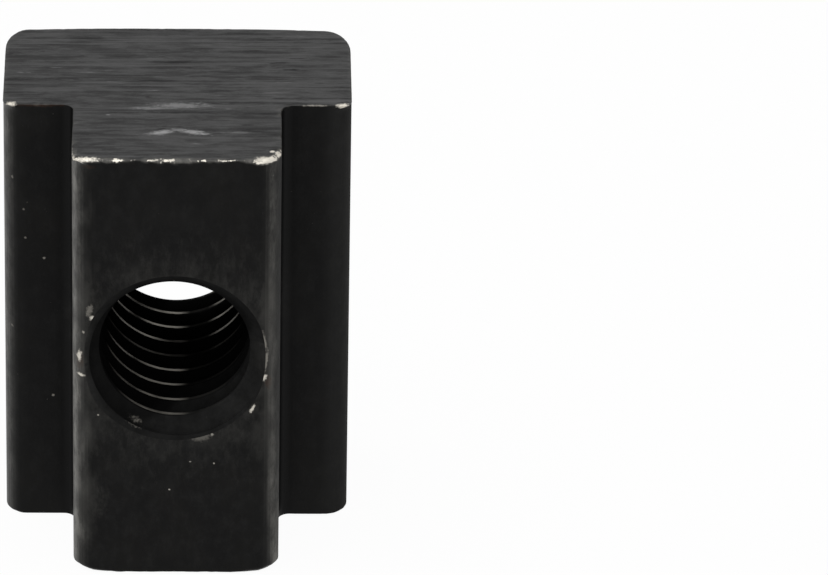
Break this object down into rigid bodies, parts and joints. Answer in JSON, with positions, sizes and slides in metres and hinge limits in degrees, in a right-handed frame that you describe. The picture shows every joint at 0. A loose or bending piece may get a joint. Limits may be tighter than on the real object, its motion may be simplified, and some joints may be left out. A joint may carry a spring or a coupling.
{
  "type": "t slot nut",
  "caption": "T slot nut of blackened steel bar, with a stem for the slot's throat, a wide base, and a tapped hole countersunk on both sides.",
  "frame": {"origin": "middle of the bottom of the bounding box, on the sawn end that the nut stands on", "axes": "+Z along the nut's length, which is the slot's length in use; -Y out of the stem's face, +Y out of the wide base's face"},
  "size_m": [0.0184, 0.0152, 0.0247],
  "materials": {
    "nut": "black oxide, satin, with saw-cut ends"
  },
  "bodies": {
    "root": {"t_slot_nut": "nut"}
  },
  "joints": []
}
